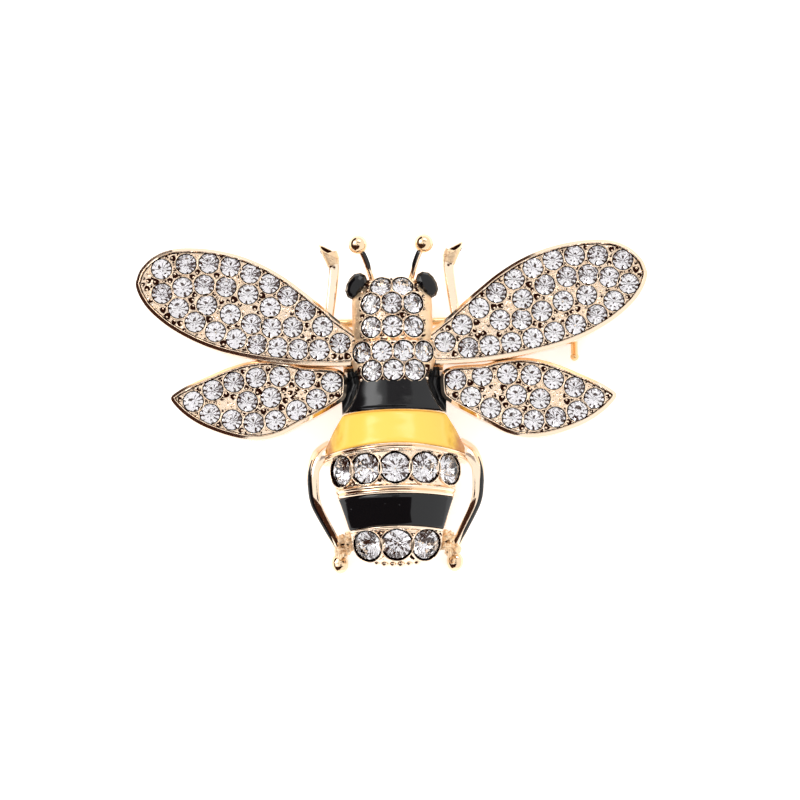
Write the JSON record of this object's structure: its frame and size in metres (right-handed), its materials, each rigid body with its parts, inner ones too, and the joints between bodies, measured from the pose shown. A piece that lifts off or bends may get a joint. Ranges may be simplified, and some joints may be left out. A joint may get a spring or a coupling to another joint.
{
  "type": "insect brooch",
  "caption": "Bee brooch with stone-set wings, head and thorax, black and yellow enamel bands, a hinged pin and a turning safety catch on its back.",
  "frame": {"origin": "centre of the bounding box on the surface that the brooch lies on", "axes": "+X towards the wing on the right of the front view, +Y towards the head, +Z out of the decorated face"},
  "size_m": [0.0498, 0.0322, 0.0097],
  "materials": {
    "gold_metal": "polished pale gold plate over a cast alloy",
    "gold_wire": "polished pale gold plate over steel wire",
    "black_enamel": "glossy enamel",
    "yellow_enamel": "glossy enamel",
    "clear_stone": "faceted glass with a silvered back",
    "black_stone": "faceted black glass"
  },
  "bodies": {
    "brooch": {"casting": "gold_metal", "enamel_thorax": "black_enamel", "enamel_yellow_band": "yellow_enamel", "enamel_black_band": "black_enamel", "forewing_stones_left": "clear_stone", "forewing_stones_right": "clear_stone", "hindwing_stones_left": "clear_stone", "hindwing_stones_right": "clear_stone", "head_stone_1": "clear_stone", "head_stone_2": "clear_stone", "head_stone_3": "clear_stone", "head_stone_4": "clear_stone", "head_stone_5": "clear_stone", "head_stone_6": "clear_stone", "head_stone_7": "clear_stone", "head_stone_8": "clear_stone", "thorax_stone_1": "clear_stone", "thorax_stone_2": "clear_stone", "thorax_stone_3": "clear_stone", "thorax_stone_4": "clear_stone", "thorax_stone_5": "clear_stone", "thorax_stone_6": "clear_stone", "thorax_stone_7": "clear_stone", "belly_stone_1": "clear_stone", "belly_stone_2": "clear_stone", "belly_stone_3": "clear_stone", "belly_stone_4": "clear_stone", "belly_stone_5": "clear_stone", "tail_stone_1": "clear_stone", "tail_stone_2": "clear_stone", "tail_stone_3": "clear_stone", "eye_left": "black_stone", "eye_right": "black_stone", "hinge_rivet": "gold_wire"},
    "pin": {"pin_stem": "gold_wire"},
    "catch": {"catch_lever": "gold_wire"}
  },
  "joints": [
    {"name": "pin_hinge", "type": "hinge", "parent": "brooch", "child": "pin", "pos_m": [-0.0166, 0.0085, 0.0014], "axis": [0, 1, 0], "range_deg": [0, 95]},
    {"name": "catch_turn", "type": "hinge", "parent": "brooch", "child": "catch", "pos_m": [0.0178, 0.0085, 0.0014], "axis": [1, 0, 0], "range_deg": [0, 130]}
  ]
}
